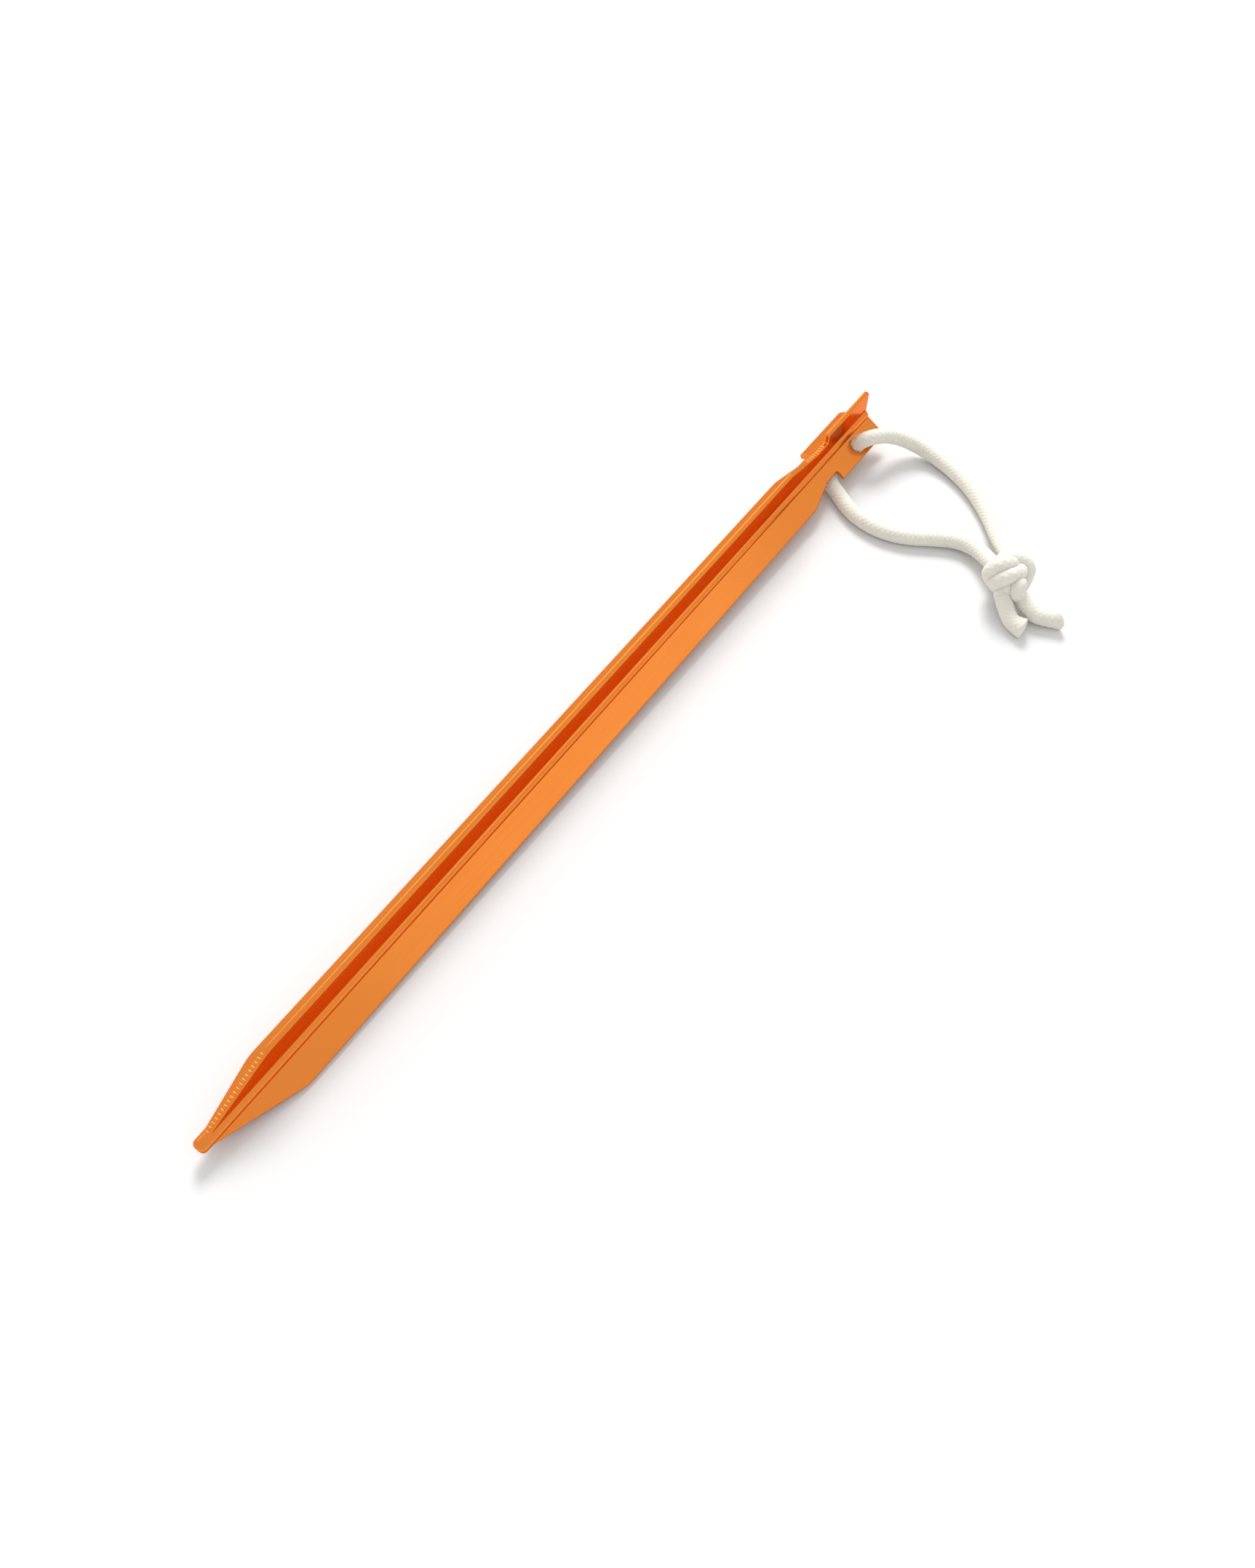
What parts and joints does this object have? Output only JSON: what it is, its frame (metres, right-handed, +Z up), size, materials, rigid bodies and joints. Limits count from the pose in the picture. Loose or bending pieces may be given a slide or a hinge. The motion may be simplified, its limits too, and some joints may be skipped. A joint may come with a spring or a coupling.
{
  "type": "tent stake with pull loop",
  "caption": "Straight lightweight tent stake with a three-fin section, a tapered point, hook notches near the head and a knotted cord pull loop through a hole.",
  "frame": {"origin": "on the ground under the middle of the stake, which lies on its two lower fins with its head propped on the cord", "axes": "+X along the stake from its point to its head, +Z up; the pull loop lies on the -Y side"},
  "size_m": [0.1814, 0.0587, 0.0113],
  "materials": {
    "stake_anodised": "orange satin anodising",
    "pull_cord": "off-white braided polyester cord"
  },
  "bodies": {
    "stake": {"stake_body": "stake_anodised", "cord_bight": "pull_cord"},
    "pull_loop": {"loop_run_head_side": "pull_cord", "loop_run_notch_side": "pull_cord", "overhand_knot": "pull_cord", "cord_tail_short": "pull_cord", "cord_tail_long": "pull_cord"}
  },
  "joints": [
    {"name": "loop_lift", "type": "hinge", "parent": "stake", "child": "pull_loop", "pos_m": [0.0873, -0.0067, 0.005], "axis": [-0.9762, 0.0362, -0.2139], "range_deg": [0, 90]}
  ]
}
